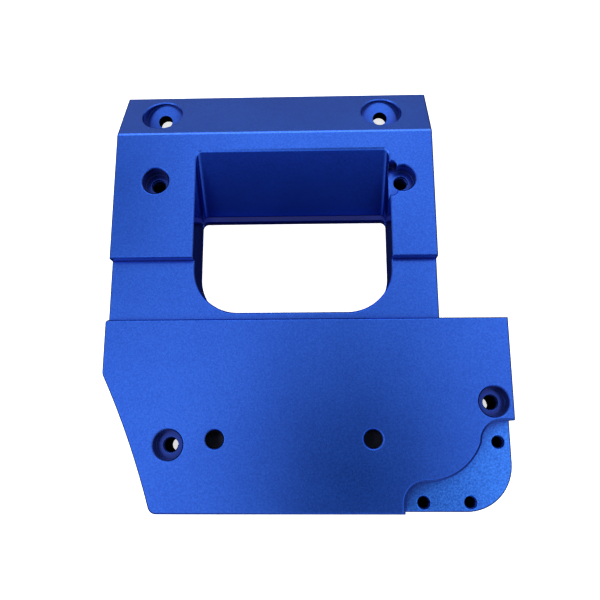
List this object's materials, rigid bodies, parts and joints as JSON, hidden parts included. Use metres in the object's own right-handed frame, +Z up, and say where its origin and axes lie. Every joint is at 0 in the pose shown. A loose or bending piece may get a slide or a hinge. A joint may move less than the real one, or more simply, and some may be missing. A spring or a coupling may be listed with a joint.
{
  "type": "pan tilt camera mount",
  "caption": "Flat blue anodised aluminium camera bracket: window block with a sloped drilled back, recessed channel and a cut-away front plate with a stepped corner.",
  "frame": {"origin": "middle of the bounding rectangle of the underside, on the surface the mount lies on", "axes": "+X to the right, +Y from the front plate to the sloped back, +Z up out of the top face"},
  "size_m": [0.105, 0.1176, 0.015],
  "materials": {
    "blue_anodised": "fine bead-blasted, blue anodised",
    "black_steel": "black oxide",
    "bright_steel": "ground"
  },
  "bodies": {
    "root": {"base_frame": "blue_anodised", "front_plate": "blue_anodised", "rear_block": "blue_anodised", "under_plate": "blue_anodised", "plate_screw_back_left": "black_steel", "plate_screw_back_right": "black_steel", "plate_screw_front_left": "black_steel", "plate_screw_front_right": "black_steel", "block_screw_left_outer": "black_steel", "block_screw_left_inner": "black_steel", "block_screw_right": "black_steel", "under_screw_front_left": "black_steel", "under_screw_front_right": "black_steel", "under_screw_back_left": "black_steel", "under_screw_back_right": "black_steel", "plate_pin_front": "bright_steel", "plate_pin_back": "bright_steel", "block_pin_left": "bright_steel", "block_pin_right": "bright_steel"}
  },
  "joints": []
}
